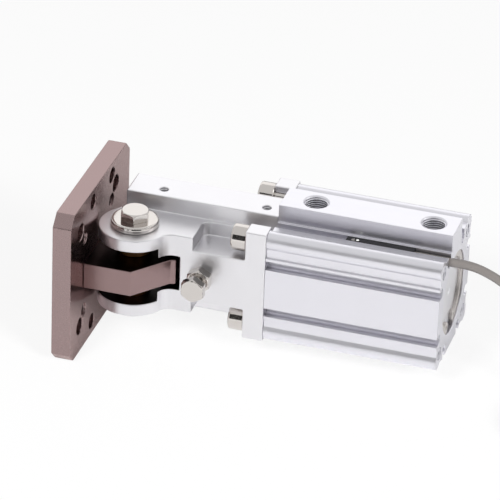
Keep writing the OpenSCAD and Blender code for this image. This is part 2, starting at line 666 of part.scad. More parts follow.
// Piston with its seal, magnet and rod, and the yoke that drives the pin
piston_l = piston_x1 - piston_x0;
magnet_x = piston_x0 + 0.14 * piston_l;
magnet_w = 0.27 * piston_l;
magnet_r = bore_d / 2 - 3;
lip_x = piston_x1 - 0.45 * piston_l;
lip_w = 0.23 * piston_l;
lip_r = bore_d / 2 - 3.4;
piston_r = bore_d / 2 - piston_gap;
module piston() color(aluminium) on_axis() difference() {
    bar_x(2 * piston_r, piston_x0, piston_x1);
    tube_x(bore_d + 2, 2 * magnet_r, magnet_x, magnet_x + magnet_w);
    tube_x(bore_d + 2, 2 * lip_r, lip_x, lip_x + lip_w);
    bar_x(stub_d + 2 * seat_gap, piston_x0 - 1, piston_x1 + 1);
}
module piston_seal() color(rubber) on_axis()
    tube_x(bore_d - 2 * piston_gap, 2 * lip_r + 2 * seat_gap, lip_x, lip_x + lip_w);
module magnet_ring() color(black) on_axis()
    tube_x(2 * piston_r - 0.4, 2 * magnet_r + 2 * seat_gap, magnet_x, magnet_x + magnet_w);
module piston_rod() color(bright) on_axis() {
    bar_x(stub_d, root_x + 0.2, root_x + root_t + 1);
    bar_x(rod_d, root_x + root_t, piston_x0);
    bar_x(stub_d, piston_x0 - 1, piston_x1 - 0.3);
}
module rod_yoke() color(steel) on_axis() difference() {
    translate([drive_x - slot_half - prong_w, -yoke_half, -yoke_top])
        cube([root_x + root_t - drive_x + slot_half + prong_w, 2 * yoke_half, 2 * yoke_top]);
    translate([-far, -far, -cheek_in]) cube([far + root_x, 2 * far, 2 * cheek_in]);
    translate([drive_x - slot_half, -far, -far]) cube([2 * slot_half, far + yoke_end, 2 * far]);
    bar_x(stub_d + 2 * seat_gap, root_x - 1, root_x + root_t + 1);
    // Corner taken off the root, where the turning arm comes near it
    translate([root_x, -yoke_half, 0]) rotate([0, 0, 45])
        cube([root_chamfer * sqrt(2), root_chamfer * sqrt(2), 2 * cheek_in + 1], center = true);
}

hinge_bracket();
barrel();
rod_cover();
cover_seal();
rod_bush();
rod_seal();
cover_ring();
front_bumper();
rear_cap();
rear_cap_seal();
rear_ring();
rear_bumper();
flange_screws();
upper_bush();
lower_bush();
stop_bolt();
stop_nut();
sensor_body();
sensor_screw();
sensor_led();
lead_tube();
lead_coil();
lead_tie();
lead_cores();
swing_plate();
swing_arm();
arm_screws();
hinge_pin();
hinge_washer();
hinge_bolt();
drive_pin();
piston();
piston_seal();
magnet_ring();
piston_rod();
rod_yoke();
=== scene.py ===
"""Swing-plate pneumatic cylinder: the looks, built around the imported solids."""

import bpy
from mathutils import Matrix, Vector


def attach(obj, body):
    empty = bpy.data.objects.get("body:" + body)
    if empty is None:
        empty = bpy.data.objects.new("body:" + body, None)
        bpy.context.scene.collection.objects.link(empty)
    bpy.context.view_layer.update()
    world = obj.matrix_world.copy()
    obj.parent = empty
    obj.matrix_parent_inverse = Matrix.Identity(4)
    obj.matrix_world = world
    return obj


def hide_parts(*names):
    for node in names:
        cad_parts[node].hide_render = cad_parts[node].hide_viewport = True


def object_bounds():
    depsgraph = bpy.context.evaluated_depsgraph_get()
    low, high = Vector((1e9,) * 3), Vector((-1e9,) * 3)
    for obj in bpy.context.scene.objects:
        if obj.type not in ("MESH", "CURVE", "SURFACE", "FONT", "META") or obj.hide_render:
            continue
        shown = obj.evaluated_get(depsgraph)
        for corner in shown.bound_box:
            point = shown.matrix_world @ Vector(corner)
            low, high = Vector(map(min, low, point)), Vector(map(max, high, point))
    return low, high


bl_info = {
    "name": "Swing-plate cylinder",
    "version": (1, 0, 0),
    "blender": (4, 5, 0),
    "location": "View3D > Sidebar > Swing plate",
    "description": "Dresses the packed swing-plate cylinder and sets up its studio",
    "category": "Object",
}

import math

import bmesh
import bpy
from bpy.props import FloatProperty, FloatVectorProperty, IntProperty, PointerProperty
from mathutils import Matrix, Vector

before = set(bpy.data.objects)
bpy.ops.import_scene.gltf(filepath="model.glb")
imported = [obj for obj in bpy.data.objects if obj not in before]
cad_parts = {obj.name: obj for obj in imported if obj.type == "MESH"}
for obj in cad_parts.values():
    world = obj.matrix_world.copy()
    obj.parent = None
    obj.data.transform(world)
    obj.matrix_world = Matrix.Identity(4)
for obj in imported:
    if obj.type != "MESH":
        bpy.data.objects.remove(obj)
CAD_BOX = [list(corner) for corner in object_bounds()]
MM = 0.001


def linear(code):
    """An sRGB hex colour as linear red, green, blue and one for alpha."""
    parts = [int(code[i:i + 2], 16) / 255 for i in (1, 3, 5)]
    return tuple(c / 12.92 if c <= 0.04045 else ((c + 0.055) / 1.055) ** 2.4 for c in parts) + (1.0,)


def length_prop(title, text, value):
    """A length that a user may change, in metres."""
    return FloatProperty(name=title, description=text, default=value, unit="LENGTH", precision=5)


def colour_prop(title, text, code):
    """A colour that a user may change."""
    return FloatVectorProperty(name=title, description=text, default=linear(code), size=4,
                               subtype="COLOR", min=0.0, max=1.0)


class SwingSizes(bpy.types.PropertyGroup):
    """Sizes of the details that the solids leave out."""
    bracket_edge: length_prop("Bracket edge", "Width of the bracket's broken edges", 0.45 * MM)
    barrel_edge: length_prop("Barrel edge", "Width of the extrusion's rounded edges", 0.2 * MM)
    plate_edge: length_prop("Plate edge", "Width of the plate's and arm's broken edges", 0.4 * MM)
    fitting_edge: length_prop("Fitting edge", "Width of the small pieces' broken edges", 0.15 * MM)
    head_sides: IntProperty(name="Head sides", description="Facets round a cap screw's head", default=60,
                            min=12)
    port_pitch: length_prop("Port pitch", "Thread pitch of the air ports", 0.907 * MM)
    tap_pitch: length_prop("Tap pitch", "Thread pitch of the bracket's tapped holes", 0.7 * MM)
    screw_pitch: length_prop("Screw pitch", "Thread pitch of the larger tapped holes", 1.0 * MM)
    lead_length: length_prop("Lead length", "Length of the sensor lead", 500 * MM)
    lead_width: length_prop("Lead diameter", "Diameter of the sensor lead", 3.3 * MM)


class SwingFinishes(bpy.types.PropertyGroup):
    """Colours of the finishes."""
    bracket: colour_prop("Bracket", "Clear anodised, blasted aluminium", "#E8E7EA")
    barrel: colour_prop("Barrel", "Clear anodised extrusion", "#E6E5EB")
    plate: colour_prop("Plate", "Brown hard-anodised aluminium", "#97807F")
    nickel: colour_prop("Nickel", "Bright nickel on steel", "#D2CDC9")
    steel: colour_prop("Steel", "Ground steel", "#B4B1AE")
    bronze: colour_prop("Bronze", "Sintered bronze", "#9C6F48")
    black: colour_prop("Black", "Black moulded plastic", "#1B1B1E")
    rubber: colour_prop("Rubber", "Nitrile rubber", "#232325")
    sheath: colour_prop("Sheath", "Oil-proof lead sheath", "#7A7572")
    lens: colour_prop("Lens", "Clear lamp lens", "#F4F4F0")
    backdrop: colour_prop("Backdrop", "Floor of the studio", "#FFFFFF")


def sizes():
    return bpy.context.scene.swing_sizes


def finishes():
    return bpy.context.scene.swing_finishes


def nd(tree, kind, inputs=None, **settings):
    """Add a node with its settings; each input takes a value or another node's socket."""
    node = tree.nodes.new(kind)
    for key, value in settings.items():
        setattr(node, key, value)
    for key, value in (inputs or {}).items():
        if isinstance(value, bpy.types.NodeSocket):
            tree.links.new(value, node.inputs[key])
        else:
            node.inputs[key].default_value = value
    return node


MADE = {}

# Sockets of a Mix node that mixes colours
MIX_SHARE, MIX_FIRST, MIX_SECOND, MIX_RESULT = 0, 6, 7, 2
# The part of a noise's range that is read, the smoothest roughness,
# and a bump's height as a share of its grain
NOISE_LOW, NOISE_HIGH = 0.3, 0.7
SMOOTHEST = 0.02
BUMP_SHARE = 0.25
# How a grain is stretched: not at all, along the barrel, along the rod, and along the upright pins
EVEN = (1.0, 1.0, 1.0)
ALONG_BARREL = (0.03, 1.0, 1.0)
ALONG_ROD = (0.1, 1.0, 1.0)
ALONG_PINS = (1.0, 1.0, 0.15)
# Painted shade's tint, and the boxes in which it darkens the bracket and the arm in the gap between the ears,
# where shade falls, in millimetres
GAP_SHADE_TINT = linear("#4A4644")
EAR_GAP = ((-60, -60, 11.4), (-13.9, 40, 33.6))
NECK_GAP = ((-13.9, -60, 15.3), (-6.7, 40, 29.7))
ARM_UPPER_FACE = ((-39.5, -60, 27.6), (0, 40, 27.8))
ARM_LOWER_FACE = ((-39.5, -60, 17.2), (0, 40, 17.4))


def surface(name, colour, metallic, rough, spread, grain_mm, bump, stretch=EVEN, tone=0.04, tone_mm=12.0,
            shade_boxes=(), **more):
    """A finish with a fine grain in roughness and bump, a slow drift of tone, and boxes darkened with painted
    shade.
    """
    if name in MADE:
        return MADE[name]
    material = bpy.data.materials.new(name)
    material.use_nodes = True
    tree = material.node_tree
    tree.nodes.clear()
    place = nd(tree, "ShaderNodeTexCoord").outputs["Object"]
    drawn = nd(tree, "ShaderNodeMapping", {"Vector": place, "Scale": stretch}).outputs[0]
    grain = nd(tree, "ShaderNodeTexNoise",
               {"Vector": drawn, "Scale": 1 / (grain_mm * MM), "Detail": 3.0}).outputs[0]
    drift = nd(tree, "ShaderNodeTexNoise",
               {"Vector": place, "Scale": 1 / (tone_mm * MM), "Detail": 2.0}).outputs[0]
    gloss = nd(tree, "ShaderNodeMapRange",
               {"Value": grain, "From Min": NOISE_LOW, "From Max": NOISE_HIGH,
                "To Min": max(SMOOTHEST, rough - spread), "To Max": rough + spread})
    dark = tuple(c * (1 - tone) for c in colour[:3]) + (1.0,)
    light = tuple(min(1.0, c * (1 + tone)) for c in colour[:3]) + (1.0,)
    shade = nd(tree, "ShaderNodeMix", {MIX_SHARE: drift, MIX_FIRST: dark, MIX_SECOND: light},
               data_type="RGBA").outputs[MIX_RESULT]
    # Painted shade inside the given boxes, where the gap between the ears is in shade
    for low, high in shade_boxes:
        shade = painted_shade_box(tree, place, shade, low, high)
    relief = nd(tree, "ShaderNodeBump",
                {"Height": grain, "Strength": bump, "Distance": grain_mm * MM * BUMP_SHARE})
    shader = nd(tree, "ShaderNodeBsdfPrincipled", {
        "Base Color": shade, "Metallic": metallic, "Roughness": gloss.outputs[0],
        "Normal": relief.outputs[0], **more})
    nd(tree, "ShaderNodeOutputMaterial", {"Surface": shader.outputs[0]})
    MADE[name] = material
    return material


def painted_shade_box(tree, place, shade, low, high):
    """Darken a finish inside a box, given in millimetres, with painted shade where the gap's shade falls."""
    along = nd(tree, "ShaderNodeSeparateXYZ", {0: place})
    inside = 1.0
    for k in range(3):
        near = nd(tree, "ShaderNodeMath", {0: along.outputs[k], 1: (low[k] + high[k]) / 2 * MM,
                                           2: (high[k] - low[k]) / 2 * MM}, operation="COMPARE")
        inside = nd(tree, "ShaderNodeMath", {0: near.outputs[0], 1: inside}, operation="MULTIPLY").outputs[0]
    mixed = nd(tree, "ShaderNodeMix", {MIX_SHARE: inside, MIX_FIRST: shade, MIX_SECOND: GAP_SHADE_TINT},
               data_type="RGBA", blend_type="MULTIPLY")
    return mixed.outputs[MIX_RESULT]


def blasted_anodised():
    # Aluminium blasted with glass beads, then clear anodised: an even satin without lines,
    # with painted shade between the ears, where the gap is in shade
    return surface("blasted_anodised_aluminium", finishes().bracket, metallic=1.0, rough=0.36, spread=0.05,
                   grain_mm=0.25, bump=0.1, tone=0.02, shade_boxes=(EAR_GAP, NECK_GAP))


def drawn_anodised():
    # Extruded and clear anodised: faint die lines along the axis, drawn coarser than real, so that they show
    return surface("drawn_anodised_aluminium", finishes().barrel, metallic=1.0, rough=0.34, spread=0.04,
                   grain_mm=0.3, bump=0.08, stretch=ALONG_BARREL, tone=0.015)


def brown_anodised():
    # Milled and hard anodised: a brown oxide layer, glossier at a flat angle, with the metal's sheen under it
    return surface("brown_hard_anodised_aluminium", finishes().plate, metallic=1.0, rough=0.27, spread=0.03,
                   grain_mm=0.3, bump=0.02, tone=0.02,
                   **{"Specular Tint": linear("#D4BEBC"), "Coat Weight": 0.6, "Coat IOR": 1.8,
                      "Coat Roughness": 0.16})


def arm_anodised():
    # The same brown oxide, rubbed, with painted shade on its upper and lower faces where the arm runs between
    # the ears
    return surface("rubbed_hard_anodised_aluminium", finishes().plate, metallic=1.0, rough=0.3, spread=0.03,
                   grain_mm=0.3, bump=0.02, tone=0.02, shade_boxes=(ARM_UPPER_FACE, ARM_LOWER_FACE))


def bright_nickel():
    # Nickel plate over turned steel: nearly a mirror, with a warm tone
    return surface("bright_nickel_plate", finishes().nickel, metallic=1.0, rough=0.1, spread=0.03,
                   grain_mm=0.6, bump=0.02, tone=0.03)


def dull_nickel():
    # Nickel plate over stamped spring steel: pale and satin
    return surface("dull_nickel_plate", finishes().nickel, metallic=1.0, rough=0.42, spread=0.04,
                   grain_mm=0.3, bump=0.06, tone=0.03)


def ground_steel():
    # Ground steel: a grey mirror broken by short scratches
    return surface("ground_steel", finishes().steel, metallic=1.0, rough=0.26, spread=0.06,
                   grain_mm=0.25, bump=0.1, stretch=ALONG_PINS, tone=0.03)


def sintered_bronze():
    # Pressed bronze powder soaked with oil: fine pores and a dull shine
    return surface("sintered_bronze", finishes().bronze, metallic=1.0, rough=0.38, spread=0.08,
                   grain_mm=0.3, bump=0.25, tone=0.06, tone_mm=4.0)


def black_acetal():
    # Moulded black plastic: fine spark-eroded texture with a low shine
    return surface("black_moulded_plastic", finishes().black, metallic=0.0, rough=0.42, spread=0.08,
                   grain_mm=0.3, bump=0.2, tone=0.1, tone_mm=6.0)


def nitrile_rubber():
    # Rubber seals: matt, with a bloom
    return surface("nitrile_rubber", finishes().rubber, metallic=0.0, rough=0.6, spread=0.08,
                   grain_mm=0.4, bump=0.2, tone=0.1, tone_mm=5.0)


def lead_sheath():
    # Extruded sheath: smooth and slightly oily, with a soft shine
    return surface("lead_sheath_pvc", finishes().sheath, metallic=0.0, rough=0.33, spread=0.05,
                   grain_mm=0.5, bump=0.1, tone=0.05, tone_mm=8.0)


def clear_lens():
    # Clear cap over the lamp: glossy, pale
    return surface("clear_lamp_lens", finishes().lens, metallic=0.0, rough=0.12, spread=0.03,
                   grain_mm=0.5, bump=0.02, tone=0.02)


def brown_core():
    # Core insulation, brown: smooth, with a low shine
    return surface("core_sheath_brown", linear("#6A4028"), metallic=0.0, rough=0.4, spread=0.05,
                   grain_mm=0.4, bump=0.08)


def blue_core():
    # Core insulation, blue: smooth, with a low shine
    return surface("core_sheath_blue", linear("#2E5FA8"), metallic=0.0, rough=0.4, spread=0.05,
                   grain_mm=0.4, bump=0.08)


def bare_copper():
    # Twisted strands of the stripped cores: bright copper with an uneven shine
    return surface("bare_copper_strand", linear("#C98A5E"), metallic=1.0, rough=0.25, spread=0.06,
                   grain_mm=0.2, bump=0.3)


def phosphated_steel():
    # Spring steel, phosphated: dark grey and fine-grained
    return surface("phosphated_spring_steel", linear("#5C5A58"), metallic=1.0, rough=0.4, spread=0.06,
                   grain_mm=0.25, bump=0.15, tone=0.05)


def hard_chrome():
    # Chromed and polished rod: a mirror with the faintest lines along it
    return surface("hard_chrome", linear("#D9DADC"), metallic=1.0, rough=0.08, spread=0.02,
                   grain_mm=0.3, bump=0.03, stretch=ALONG_ROD, tone=0.02)


def linked(name, mesh):
    """A new object in the scene, at the origin."""
    piece = bpy.data.objects.new(name, mesh)
    bpy.context.scene.collection.objects.link(piece)
    return piece


def flattened(piece):
    """Turn a piece with modifiers into a plain mesh."""
    bpy.context.view_layer.update()
    graph = bpy.context.evaluated_depsgraph_get()
    mesh = bpy.data.meshes.new_from_object(piece.evaluated_get(graph), depsgraph=graph)
    piece.modifiers.clear()
    old = piece.data
    piece.data = mesh
    mesh.name = piece.name
    bpy.data.meshes.remove(old)
    return piece


def settle(piece, body, material, slot, *nodes):
    """Give a finished piece its finish, its body and the nodes it stands for."""
    if not piece.data.materials:
        piece.data.materials.append(material)
    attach(piece, body)
    if nodes:
        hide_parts(*nodes)
    return piece


# Broken edges: points this near are merged, facets this flat are joined and edges this sharp are bevelled,
# in metres and degrees
MERGE_DISTANCE = 1e-6
FLAT_ANGLE = 0.4
EDGE_ANGLE = 32.0
FACE_WEIGHT = 60


def softened(node, width, segments):
    """A copy of a node's solid with its sharp edges broken, as a machinist or a mould leaves them."""
    mesh = bpy.data.meshes.new(node + "_dressed")
    shell = bmesh.new()
    shell.from_mesh(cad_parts[node].data)
    bmesh.ops.remove_doubles(shell, verts=shell.verts, dist=MERGE_DISTANCE)
    bmesh.ops.dissolve_limit(shell, angle_limit=math.radians(FLAT_ANGLE), verts=shell.verts,
                             edges=shell.edges, delimit={"NORMAL"})
    shell.to_mesh(mesh)
    shell.free()
    mesh.materials.clear()
    piece = linked(node + "_dressed", mesh)
    for face in mesh.polygons:
        face.use_smooth = True
    bevel = piece.modifiers.new("broken_edges", "BEVEL")
    bevel.width = width
    bevel.segments = segments
    bevel.limit_method = "ANGLE"
    bevel.angle_limit = math.radians(EDGE_ANGLE)
    bevel.use_clamp_overlap = False
    bevel.miter_outer = "MITER_ARC"
    normals = piece.modifiers.new("flat_faces", "WEIGHTED_NORMAL")
    normals.keep_sharp = True
    normals.weight = FACE_WEIGHT
    return flattened(piece)


def dress(node, body, material, slot, width=None, segments=2):
    """A piece that stands for a node, with its edges broken to a width, or else to the one in EDGES."""
    width = EDGES[node] * MM if width is None else width
    return settle(softened(node, width, segments), body, material, slot, node)


def keep(node, material):
    """A solid whose shape is right keeps its node and gets its finish."""
    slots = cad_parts[node].data.materials
    slots.clear()
    slots.append(material)


def new_tree(name, sockets):
    """An empty geometry tree with named inputs and one geometry output."""
    tree = bpy.data.node_groups.new(name, "GeometryNodeTree")
    for title, kind in sockets:
        tree.interface.new_socket(title, in_out="INPUT", socket_type=kind)
    tree.interface.new_socket("Geometry", in_out="OUTPUT", socket_type="NodeSocketGeometry")
    return tree


def grown(name, tree, points, values):
    """Run a geometry tree on seat points and keep the result as a plain mesh."""
    mesh = bpy.data.meshes.new(name)
    mesh.from_pydata([Vector(p) for p in points], [], [])
    piece = linked(name, mesh)
    modifier = piece.modifiers.new("grown", "NODES")
    modifier.node_group = tree
    for item in tree.interface.items_tree:
        if item.in_out == "INPUT" and item.name in values:
            modifier[item.identifier] = values[item.name]
    return flattened(piece)


def seat_tree():
    """Set one piece on every seat point, as one mesh."""
    tree = new_tree("set_on_seats", [("Seats", "NodeSocketGeometry"), ("Piece", "NodeSocketObject"),
                                     ("Finish", "NodeSocketMaterial")])
    given = nd(tree, "NodeGroupInput").outputs
    piece = nd(tree, "GeometryNodeObjectInfo", {"Object": given["Piece"]})
    placed = nd(tree, "GeometryNodeInstanceOnPoints",
                {"Points": given["Seats"], "Instance": piece.outputs["Geometry"]})
    real = nd(tree, "GeometryNodeRealizeInstances", {"Geometry": placed.outputs[0]})
    done = nd(tree, "GeometryNodeSetMaterial", {"Geometry": real.outputs[0], "Material": given["Finish"]})
    nd(tree, "NodeGroupOutput", {0: done.outputs[0]})
    return tree


# Points on each turn of a thread, and corners of its ridge
THREAD_STEPS = 40
RIDGE_CORNERS = 4


def thread_tree():
    """A pointed ridge wound along Z from every seat point: the thread of a hole or a bolt."""
    tree = new_tree("wound_thread", [("Seats", "NodeSocketGeometry"), ("Radius", "NodeSocketFloat"),
                                     ("Pitch", "NodeSocketFloat"), ("Turns", "NodeSocketFloat"),
                                     ("Finish", "NodeSocketMaterial")])
    given = nd(tree, "NodeGroupInput").outputs
    rise = nd(tree, "ShaderNodeMath", {0: given["Pitch"], 1: given["Turns"]}, operation="MULTIPLY").outputs[0]
    half = nd(tree, "ShaderNodeMath", {0: given["Pitch"], 1: 0.5}, operation="MULTIPLY").outputs[0]
    path = nd(tree, "GeometryNodeCurveSpiral",
              {"Resolution": THREAD_STEPS, "Rotations": given["Turns"], "Start Radius": given["Radius"],
               "End Radius": given["Radius"], "Height": rise})
    upright = nd(tree, "GeometryNodeSetCurveNormal", {"Curve": path.outputs[0]}, mode="Z_UP")
    section = nd(tree, "GeometryNodeCurvePrimitiveCircle", {"Resolution": RIDGE_CORNERS, "Radius": half})
    ridge = nd(tree, "GeometryNodeCurveToMesh",
               {"Curve": upright.outputs[0], "Profile Curve": section.outputs[0], "Fill Caps": True})
    placed = nd(tree, "GeometryNodeInstanceOnPoints",
                {"Points": given["Seats"], "Instance": ridge.outputs[0]})
    real = nd(tree, "GeometryNodeRealizeInstances", {"Geometry": placed.outputs[0]})
    done = nd(tree, "GeometryNodeSetMaterial", {"Geometry": real.outputs[0], "Material": given["Finish"]})
    nd(tree, "NodeGroupOutput", {0: done.outputs[0]})
    return tree


def tree_named(name, maker):
    """A tree that is made once and then used again."""
    return bpy.data.node_groups.get(name) or maker()


def threads(name, seats, sized, pitch, material, turn=None):
    """Threads of like holes, sized by radius and length in millimetres, made along Z and then turned."""
    radius, length = sized
    piece = grown(name, tree_named("wound_thread", thread_tree), seats,
                  {"Radius": radius * MM, "Pitch": pitch, "Turns": length * MM / pitch, "Finish": material})
    if turn is not None:
        piece.data.transform(turn)
    return piece


def closed_mesh(name, rings, smooth):
    """A closed skin over rings of equal count, with a point at both ends, shaded smooth up to an angle."""
    shell = bmesh.new()
    rows = [[shell.verts.new(p) for p in ring] for ring in rings]
    for low, high in zip(rows, rows[1:]):
        if len(low) == 1 or len(high) == 1:
            tip, rim = (low, high) if len(low) == 1 else (high, low)
            for i, v in enumerate(rim):
                shell.faces.new([tip[0], v, rim[(i + 1) % len(rim)]])
        else:
            for i, v in enumerate(low):
                j = (i + 1) % len(low)
                shell.faces.new([v, low[j], high[j], high[i]])
    bmesh.ops.recalc_face_normals(shell, faces=shell.faces)
    mesh = bpy.data.meshes.new(name)
    shell.to_mesh(mesh)
    shell.free()
    for face in mesh.polygons:
        face.use_smooth = True
    mesh.set_sharp_from_angle(angle=math.radians(smooth))
    return mesh


# A cap screw's small forms, in millimetres: the chamfer of its end, the edge under its head, the rim's
# rounding as pairs of inset and drop, the socket's mouth, and its floor as shares of the head's height
END_CHAMFER = 0.5
UNDER_EDGE, UNDER_TOP = 0.3, 0.35
RIM = ((0.0, 0.8), (0.0, 0.75), (0.06, 0.45), (0.22, 0.18), (0.6, 0.0))
MOUTH_MARGIN, MOUTH_DROP = 0.1, 0.2
SOCKET_FOOT, SOCKET_POINT = 0.45, 0.36
HEAD_SMOOTH = 34.0


def cap_screw_mesh(name, shank, head, high, socket, reach):
    """A plain cap screw with a hexagon socket, its head's seat at zero and its shank below, along Z."""
    count = 6 * round(sizes().head_sides / 6)

    def ring(radius, z):
        return [Vector((radius * math.cos(math.tau * i / count), radius * math.sin(math.tau * i / count), z))
                for i in range(count)]

    def hexagon(z):
        points = []
        for i in range(count):
            turn = math.tau * i / count
            inner = (turn % (math.pi / 3)) - math.pi / 6
            radius = socket / 2 / math.cos(inner)
            points.append(Vector((radius * math.cos(turn), radius * math.sin(turn), z)))
        return points

    r = head / 2
    mouth = socket / 2 / math.cos(math.pi / 6) + MOUTH_MARGIN * MM
    rings = [[Vector((0, 0, -reach))], ring(shank / 2 - END_CHAMFER * MM, -reach),
             ring(shank / 2, -reach + END_CHAMFER * MM), ring(shank / 2, 0),
             ring(r - UNDER_EDGE * MM, 0), ring(r, UNDER_EDGE * MM), ring(r, UNDER_TOP * MM)]
    rings += [ring(r - inset * MM, high - drop * MM) for inset, drop in RIM]
    rings += [ring(mouth, high), hexagon(high - MOUTH_DROP * MM), hexagon(high * SOCKET_FOOT),
              [Vector((0, 0, high * SOCKET_POINT))]]
    return closed_mesh(name, rings, HEAD_SMOOTH)


def cap_screws(name, seats, turn, body, mesh, node):
    """Like cap screws on their seats, as one piece."""
    pattern = linked(name + "_pattern", mesh)
    mesh.transform(turn)
    piece = grown(name, tree_named("set_on_seats", seat_tree), seats,
                  {"Piece": pattern, "Finish": bright_nickel()})
    bpy.data.objects.remove(pattern)
    return settle(piece, body, bright_nickel(), "nickel_plate", node)


# Facets round a core, and the angle in degrees up to which it is shaded smooth
TUBE_SIDES = 12
TUBE_SMOOTH = 50.0


def tube_mesh(name, path, radius):
    """A capped round tube along a path of points."""
    rings = []
    for i, p in enumerate(path):
        ahead = (path[min(i + 1, len(path) - 1)] - path[max(i - 1, 0)]).normalized()
        side = ahead.cross(Vector((0, 0, 1))).normalized()
        up = side.cross(ahead)
        turns = [math.tau * k / TUBE_SIDES for k in range(TUBE_SIDES)]
        rings.append([p + radius * (math.cos(turn) * side + math.sin(turn) * up) for turn in turns])
    return closed_mesh(name, [[path[0]]] + rings + [[path[-1]]], TUBE_SMOOTH)


# The part's main places, in millimetres
AXIS_Z = 22.5
BARREL_END_X = 92.3
SCREW_HALF = 17.0
FLANGE_FRONT_X = 18.0
HINGE_Y = -19.5
PLATE_OUTER_X = -46.9
ARM_SCREW_Y = 9.0
ARM_SCREW_SEAT_X = PLATE_OUTER_X + 5.2
PORT_X = (38.4, 83.2)
PORT_TOP = 50.0
TAP_X = (-20.0, 20.0)
TAP_PLACES = ((-1.8, 36.4), (0.0, 1.0))
INNER_HALF = 15.3
STOP_X = 1.4
TURN_TO_PLUS_X = Matrix.Rotation(math.radians(90), 4, "Y")
TURN_TO_MINUS_X = Matrix.Rotation(math.radians(-90), 4, "Y")
TURN_TO_MINUS_Y = Matrix.Rotation(math.radians(90), 4, "X")

# Widths of the broken edges that no user needs to change, in millimetres
EDGES = {"lead_tie": 0.12, "rear_cap": 0.3, "rear_ring": 0.15, "piston_rod": 0.3, "rod_yoke": 0.25,
         "hinge_pin": 0.4, "hinge_washer": 0.5, "drive_pin": 0.4, "upper_bush": 0.2, "lower_bush": 0.2,
         "sensor_body": 0.25, "sensor_screw": 0.08, "sensor_led": 0.15}

# Radius and length of each kind of thread, and where it starts, in millimetres
TAP_THREAD = (1.65, 7.6)
PORT_THREAD, PORT_FOOT = (4.4, 7.4), PORT_TOP - 8.3
CORNER_THREAD, CORNER_FOOT = (2.5, 12.0), BARREL_END_X - 12.6
PLATE_THREAD, PLATE_FOOT = (2.5, 6.2), PLATE_OUTER_X + 0.5
STOP_THREAD, STOP_FOOT, STOP_PITCH = (2.3, 3.0), 26.8, 0.8

# The lead's route from the sensor to its coil, as in the part's source, in millimetres
LEAD_ROUTE = [(79, -9.9, 40.5), (85, -9.9, 40.5), (91, -9.9, 40.5), (97, -9.9, 40.6), (102, -9.9, 40.1),
              (107, -10, 38.6), (111.5, -10.2, 36.6), (116, -10.6, 34), (120, -11.2, 31),
              (123.5, -12, 27), (126.5, -12.8, 22.3), (129, -13.5, 17.2), (131.5, -14.1, 12),
              (134.4, -14.6, 7), (138, -14.9, 2.2), (142, -15, -1.2)]
COIL_AT = (146.0, -34.0)
COIL_R = 17.4
COIL_Z = -7.9
LEAD_D = 3.3
TAIL = 9.0
# The coil's angles in degrees: where it starts and ends, a lap, the part that crosses over, and the step
COIL_START = 84.0
TAIL_TURN = 200.0
COIL_ROUNDS = 4
LAP = 330.0
CROSSING = 44.0
COIL_STEP = 20.0

# The stripped cores in millimetres: radii, how deep they start, half their spacing, how they splay and drop
CORE_R, STRAND_R = 0.6, 0.35
CORE_IN = 1.0
CORE_HALF = 0.62
SPLAY, SPLAY_FROM, SPLAY_RUN = 0.7, 3, 12
DROP, DROP_RUN = 0.5, 8
CORE_STEPS = (0, 2, 4, 6, 8, 10, 12)
STRAND_STEPS = (0, 2.0, 4.0)


def corners(half):
    """The corners of a square about its middle."""
    return [(y, z) for y in (-half, half) for z in (-half, half)]


def coil_points():
    """Turns of the coil, clockwise from where the lead comes down, and its end with the way on from there.

    The shelves follow each other: outer upper, inner upper, inner lower, outer lower.
    """
    out, inn = COIL_R + LEAD_D / 2, COIL_R - LEAD_D / 2
    top, low = COIL_Z + 1.5 * LEAD_D, COIL_Z + 0.5 * LEAD_D
    shelves = [(out, top), (inn, top), (inn, low), (out, low)]
    last_shelf = len(shelves) - 1
    finish = TAIL_TURN - COIL_ROUNDS * 360.0
    points = []
    steps = int((COIL_START - finish) / COIL_STEP)
    for i in range(steps + 1):
        angle = COIL_START + (finish - COIL_START) * i / steps
        run = (COIL_START - angle) / LAP
        k = min(int(run), last_shelf)
        share = 0.0
        if k < last_shelf:
            share = max(0.0, ((run - k) * LAP - (LAP - CROSSING)) / CROSSING)
        share = share * share * (3 - 2 * share)
        here, there = shelves[k], shelves[min(k + 1, last_shelf)]
        radius = here[0] + (there[0] - here[0]) * share
        z = here[1] + (there[1] - here[1]) * share
        turn = math.radians(angle)
        points.append((COIL_AT[0] + radius * math.cos(turn), COIL_AT[1] + radius * math.sin(turn), z))
    end = math.radians(TAIL_TURN)
    ahead = Vector((math.sin(end), -math.cos(end), 0))
    for step in (TAIL / 2, TAIL):
        points.append(tuple(Vector(points[steps]) + ahead * step))
    return points, Vector(points[-1]), ahead


# The photograph's camera, fitted to the barrel's square section, with its axes in the part's frame
LENS = 290.1
SENSOR = 36.0
SIGHT_END = 50.0
CAMERA_AT = Vector((0.3694, -1.2560, 0.7716))
CAMERA_RIGHT = Vector((0.956, 0.2914, 0.0347))
CAMERA_DOWN = Vector((0.1737, -0.4666, -0.8673))
CAMERA_AHEAD = Vector((-0.2366, 0.8351, -0.4967))

# The studio in metres and watts: half the floor's side, how white the floor is to the camera and in
# reflections, and how bright the room is to matt surfaces, in reflections and to the camera
FLOOR_HALF = 6.0
FLOOR_SEEN, FLOOR_MIRRORED = 0.85, 0.08
ROOM_MATT, ROOM_MIRRORED, ROOM_SEEN = 0.18, 0.8, 1.0
LAMP_AIM = Vector((0.02, -0.01, 0.02))
# Each lamp's place, size and power, and whether it lights matt surfaces instead of showing in reflections
LAMPS = (("back_softbox", (-0.45, 1.6, 1.1), (2.4, 1.4), 5.2, False),
         ("right_softbox", (1.4, 0.3, 0.85), (0.7, 0.6), 1.35, False),
         ("left_floor_lamp", (-0.46, -1.5, 1.22), (0.5, 0.5), 24.0, True),
         ("right_floor_lamp", (1.3, -0.9, 0.9), (0.5, 0.5), 25.0, True))
